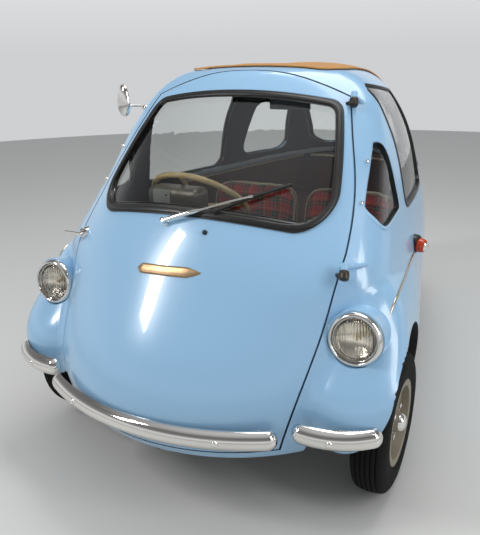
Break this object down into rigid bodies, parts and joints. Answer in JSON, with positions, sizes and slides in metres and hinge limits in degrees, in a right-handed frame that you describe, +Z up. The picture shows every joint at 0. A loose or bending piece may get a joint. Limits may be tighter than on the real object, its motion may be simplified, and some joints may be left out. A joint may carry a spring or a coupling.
{
  "type": "bubble car with one front door and three wheels",
  "caption": "Egg-shaped microcar with a whole-front opening door, steered front wheels, a single rear wheel, cloth roof, glazed cabin with a bench seat and a tail lid over its engine.",
  "frame": {"origin": "on the ground under the middle of the car's box", "axes": "the car faces -Y, +X is the car's left side, +Z is up"},
  "size_m": [1.3686, 2.5498, 1.318],
  "materials": {
    "body_paint": "gloss",
    "underbody": "matte",
    "roof_cloth": "woven",
    "clear_glass": "clear",
    "seal_rubber": "matt",
    "bright_chrome": "polished",
    "hinge_metal": "satin",
    "lamp_glass": "fluted",
    "red_lens": "clear",
    "plate_face": "satin",
    "seat_cloth": "woven tartan",
    "trim_board": "grained",
    "column_grey": "satin",
    "rim_cream": "polished",
    "engine_metal": "cast",
    "exhaust_steel": "dull",
    "axle_steel": "satin",
    "tyre_rubber": "matt",
    "wheel_paint": "satin",
    "mirror_face": "polished"
  },
  "bodies": {
    "car_body": {"body_shell": "body_paint", "floor_pan": "underbody", "fabric_roof": "roof_cloth", "side_windows": "clear_glass", "rear_window": "clear_glass", "body_hinges": "hinge_metal", "wing_bumpers": "bright_chrome", "rear_bumper": "bright_chrome", "headlamp_bowls": "bright_chrome", "headlamp_lenses": "lamp_glass", "indicator_lamps": "red_lens", "tail_lamps": "red_lens", "number_plate": "plate_face", "door_mirror": "bright_chrome", "seat_frame": "trim_board", "seat_base": "seat_cloth", "seat_backs": "seat_cloth", "rear_shelf": "trim_board", "steering_column": "column_grey", "instrument_pod": "column_grey", "pedals": "axle_steel", "engine_block": "engine_metal", "exhaust": "exhaust_steel", "front_suspension": "axle_steel", "rear_suspension": "axle_steel"},
    "door": {"door_panel": "body_paint", "windscreen": "clear_glass", "windscreen_seal": "seal_rubber", "door_bumper": "bright_chrome", "door_hinges": "hinge_metal", "door_handle": "bright_chrome", "wiper": "bright_chrome", "interior_mirror": "mirror_face"},
    "lid": {"engine_lid": "body_paint"},
    "left_knuckle": {"knuckle_left": "axle_steel"},
    "right_knuckle": {"knuckle_right": "axle_steel"},
    "tie_rod": {"track_rod": "axle_steel"},
    "steering_wheel": {"steering_wheel": "rim_cream"},
    "front_left_wheel": {"tyre_front_left": "tyre_rubber", "wheel_front_left": "wheel_paint"},
    "front_right_wheel": {"tyre_front_right": "tyre_rubber", "wheel_front_right": "wheel_paint"},
    "rear_wheel": {"tyre_rear": "tyre_rubber", "wheel_rear": "wheel_paint"}
  },
  "joints": [
    {"name": "door_hinge", "type": "hinge", "parent": "car_body", "child": "door", "pos_m": [0.5, -0.893, 0.775], "axis": [-0.1865, 0.651, 0.7359], "range_deg": [0, 75]},
    {"name": "lid_hinge", "type": "hinge", "parent": "car_body", "child": "lid", "pos_m": [0, 1.0907, 0.778], "axis": [1, 0, 0], "range_deg": [0, 65]},
    {"name": "left_steer", "type": "hinge", "parent": "car_body", "child": "left_knuckle", "pos_m": [0.548, -0.74, 0.233], "axis": [0, 0, 1], "range_deg": [-28, 28]},
    {"name": "right_steer", "type": "hinge", "parent": "car_body", "child": "right_knuckle", "pos_m": [-0.548, -0.74, 0.233], "axis": [0, 0, 1], "range_deg": [-28, 28]},
    {"name": "tie_rod_slide", "type": "slide", "parent": "car_body", "child": "tie_rod", "axis": [1, 0, 0], "range_m": [-0.0489, 0.0489]},
    {"name": "steering_turn", "type": "hinge", "parent": "car_body", "child": "steering_wheel", "pos_m": [-0.16, -0.586, 0.819], "axis": [0, 0.6428, 0.766], "range_deg": [-252, 252]},
    {"name": "front_left_spin", "type": "hinge", "parent": "left_knuckle", "child": "front_left_wheel", "pos_m": [0.61, -0.74, 0.233], "axis": [1, 0, 0], "continuous": true},
    {"name": "front_right_spin", "type": "hinge", "parent": "right_knuckle", "child": "front_right_wheel", "pos_m": [-0.61, -0.74, 0.233], "axis": [1, 0, 0], "continuous": true},
    {"name": "rear_spin", "type": "hinge", "parent": "car_body", "child": "rear_wheel", "pos_m": [0, 1.02, 0.233], "axis": [1, 0, 0], "continuous": true}
  ],
  "couplings": [
    {"joint": "right_steer", "follows": "left_steer", "ratio": 1},
    {"joint": "tie_rod_slide", "follows": "left_steer", "m_per_rad": -0.1},
    {"joint": "steering_turn", "follows": "left_steer", "ratio": 9}
  ]
}
